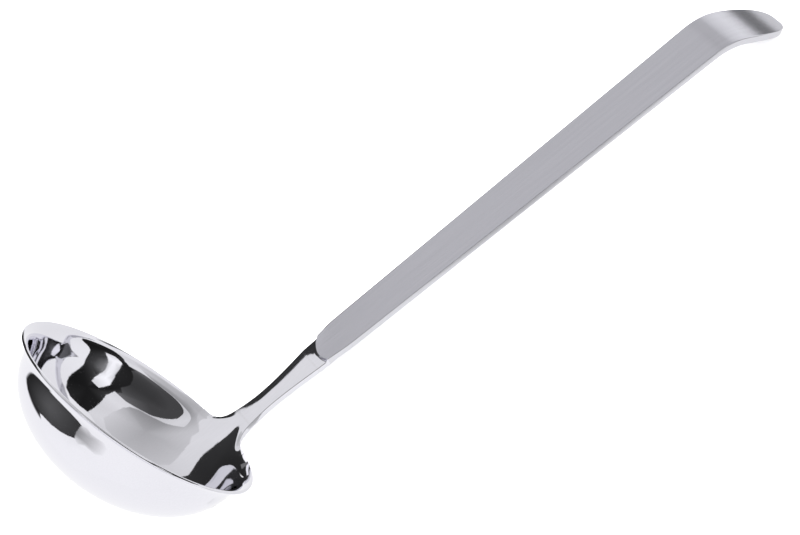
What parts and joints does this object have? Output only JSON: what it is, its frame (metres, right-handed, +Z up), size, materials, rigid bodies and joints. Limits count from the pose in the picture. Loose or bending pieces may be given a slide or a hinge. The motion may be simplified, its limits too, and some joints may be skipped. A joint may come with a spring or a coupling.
{
  "type": "soup ladle",
  "caption": "Stainless steel soup ladle: round bowl with a flared pouring rim, slim polished neck and a flat satin handle ending in a hanging hook.",
  "frame": {"origin": "centre of the footprint at table level, with the ladle lying on its back", "axes": "+X from the bowl to the hook, +Z up, XZ the plane of symmetry"},
  "size_m": [0.2978, 0.09, 0.0798],
  "materials": {
    "polished_steel": "mirror polished",
    "weld_steel": "ground flush and polished",
    "satin_steel": "satin, brushed lengthwise"
  },
  "bodies": {
    "root": {"bowl": "polished_steel", "tongue_weld": "weld_steel", "neck": "polished_steel", "handle_weld": "weld_steel", "handle": "satin_steel"}
  },
  "joints": []
}
